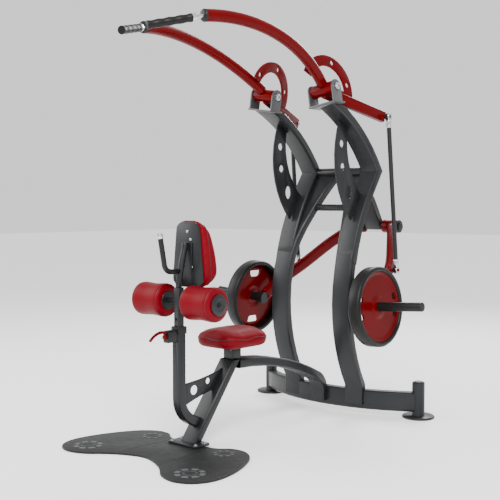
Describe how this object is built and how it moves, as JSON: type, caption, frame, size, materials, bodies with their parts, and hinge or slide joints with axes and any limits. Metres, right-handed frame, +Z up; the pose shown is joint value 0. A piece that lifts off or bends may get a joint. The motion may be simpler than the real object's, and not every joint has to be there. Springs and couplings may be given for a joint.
{
  "type": "lat pulldown machine",
  "caption": "Plate-loaded lat pulldown machine with two independent curved pull arms, link rods, weight levers, thigh rollers, chest pad, seat and foot deck.",
  "frame": {"origin": "middle of the footprint, on the floor", "axes": "+Z up, -Y the way the seated user faces (towards the foot deck), +X to the side of the right-hand frame"},
  "size_m": [1.4772, 2.1625, 2.1289],
  "materials": {
    "frame_paint": "satin anthracite powder coat",
    "red_paint": "gloss deep red enamel",
    "upholstery": "smooth crimson leatherette over foam",
    "plate_rubber": "black rubber coating",
    "black_plastic": "matt black",
    "deck_coat": "textured dark grey coat"
  },
  "bodies": {
    "frame": {"arm_bracket_left": "frame_paint", "arm_bracket_right": "frame_paint", "arm_pivot_pin_left": "frame_paint", "arm_pivot_pin_right": "frame_paint", "base_crossmember": "frame_paint", "base_post_left": "frame_paint", "base_post_right": "frame_paint", "foot_platform": "deck_coat", "front_leg": "frame_paint", "knee_gusset_left": "frame_paint", "knee_gusset_right": "frame_paint", "leg_flange": "frame_paint", "lever_shaft": "frame_paint", "lower_cross_tube": "frame_paint", "main_leg_left": "frame_paint", "main_leg_right": "frame_paint", "pin_housing": "frame_paint", "post_gusset": "frame_paint", "rear_bracket": "frame_paint", "seat_beam": "frame_paint", "seat_cushion": "upholstery", "seat_plate": "frame_paint", "seat_post": "frame_paint", "thigh_post": "frame_paint", "upper_cross_tube": "frame_paint", "upper_upright_left": "frame_paint", "upper_upright_right": "frame_paint"},
    "arm_right": {"arm_hub_right": "red_paint", "pull_arm_right": "red_paint", "crescent_plate_right": "red_paint", "arm_tail_right": "red_paint", "grip_spindle_right": "frame_paint"},
    "grip_right": {"hand_grip_right": "black_plastic"},
    "lever_right": {"lever_hub_right": "red_paint", "weight_lever_right": "red_paint", "plate_horn_right": "black_plastic", "weight_plate_right": "plate_rubber"},
    "rod_right": {"link_rod_right": "frame_paint"},
    "roller_right": {"thigh_roller_right": "upholstery", "roller_cap_right": "black_plastic"},
    "arm_left": {"arm_hub_left": "red_paint", "pull_arm_left": "red_paint", "crescent_plate_left": "red_paint", "arm_tail_left": "red_paint", "grip_spindle_left": "frame_paint"},
    "grip_left": {"hand_grip_left": "black_plastic"},
    "lever_left": {"lever_hub_left": "red_paint", "weight_lever_left": "red_paint", "plate_horn_left": "black_plastic", "weight_plate_left": "plate_rubber"},
    "rod_left": {"link_rod_left": "frame_paint"},
    "roller_left": {"thigh_roller_left": "upholstery", "roller_cap_left": "black_plastic"},
    "thigh_unit": {"sliding_post": "frame_paint", "roller_axle": "frame_paint", "pad_arm": "frame_paint", "pad_plate": "frame_paint", "chest_pad": "upholstery", "support_handle": "black_plastic"},
    "pin": {"pin_plunger": "red_paint"}
  },
  "joints": [
    {"name": "arm_right_hinge", "type": "hinge", "parent": "frame", "child": "arm_right", "pos_m": [0.208, 0.2265, 1.833], "axis": [0.9877, 0, 0.1564], "range_deg": [0, 45]},
    {"name": "lever_right_hinge", "type": "hinge", "parent": "frame", "child": "lever_right", "pos_m": [0.124, 1.0405, 1.073], "axis": [-1, 0, 0], "range_deg": [0, 50.3]},
    {"name": "rod_right_hinge", "type": "hinge", "parent": "lever_right", "child": "rod_right", "pos_m": [0.362, 0.7255, 0.828], "axis": [0.9963, -0.0862, 0.0008], "range_deg": [0, 46.7]},
    {"name": "grip_right_spin", "type": "hinge", "parent": "arm_right", "child": "grip_right", "pos_m": [0.212, -0.7045, 2.089], "axis": [-0.4298, -0.8735, -0.2288], "continuous": true},
    {"name": "roller_right_spin", "type": "hinge", "parent": "thigh_unit", "child": "roller_right", "pos_m": [0.17, -0.6765, 0.732], "axis": [1, 0, 0], "continuous": true},
    {"name": "arm_left_hinge", "type": "hinge", "parent": "frame", "child": "arm_left", "pos_m": [-0.208, 0.2265, 1.833], "axis": [0.9877, 0, -0.1564], "range_deg": [0, 45]},
    {"name": "lever_left_hinge", "type": "hinge", "parent": "frame", "child": "lever_left", "pos_m": [-0.124, 1.0405, 1.073], "axis": [-1, 0, 0], "range_deg": [0, 50.3]},
    {"name": "rod_left_hinge", "type": "hinge", "parent": "lever_left", "child": "rod_left", "pos_m": [-0.362, 0.7255, 0.828], "axis": [0.9963, 0.0862, -0.0008], "range_deg": [0, 46.7]},
    {"name": "grip_left_spin", "type": "hinge", "parent": "arm_left", "child": "grip_left", "pos_m": [-0.212, -0.7045, 2.089], "axis": [0.4298, -0.8735, -0.2288], "continuous": true},
    {"name": "roller_left_spin", "type": "hinge", "parent": "thigh_unit", "child": "roller_left", "pos_m": [-0.17, -0.6765, 0.732], "axis": [1, 0, 0], "continuous": true},
    {"name": "thigh_unit_slide", "type": "slide", "parent": "frame", "child": "thigh_unit", "axis": [0, 0, 1], "range_m": [-0.08, 0.12]},
    {"name": "pin_pull", "type": "slide", "parent": "frame", "child": "pin", "axis": [0, -1, 0], "range_m": [0, 0.015], "stiffness_N_per_m": 600, "springref_m": -0.01}
  ],
  "couplings": [
    {"joint": "lever_right_hinge", "follows": "arm_right_hinge", "ratio": 1.117},
    {"joint": "rod_right_hinge", "follows": "arm_right_hinge", "ratio": 1.0371},
    {"joint": "lever_left_hinge", "follows": "arm_left_hinge", "ratio": 1.117},
    {"joint": "rod_left_hinge", "follows": "arm_left_hinge", "ratio": 1.0371}
  ]
}
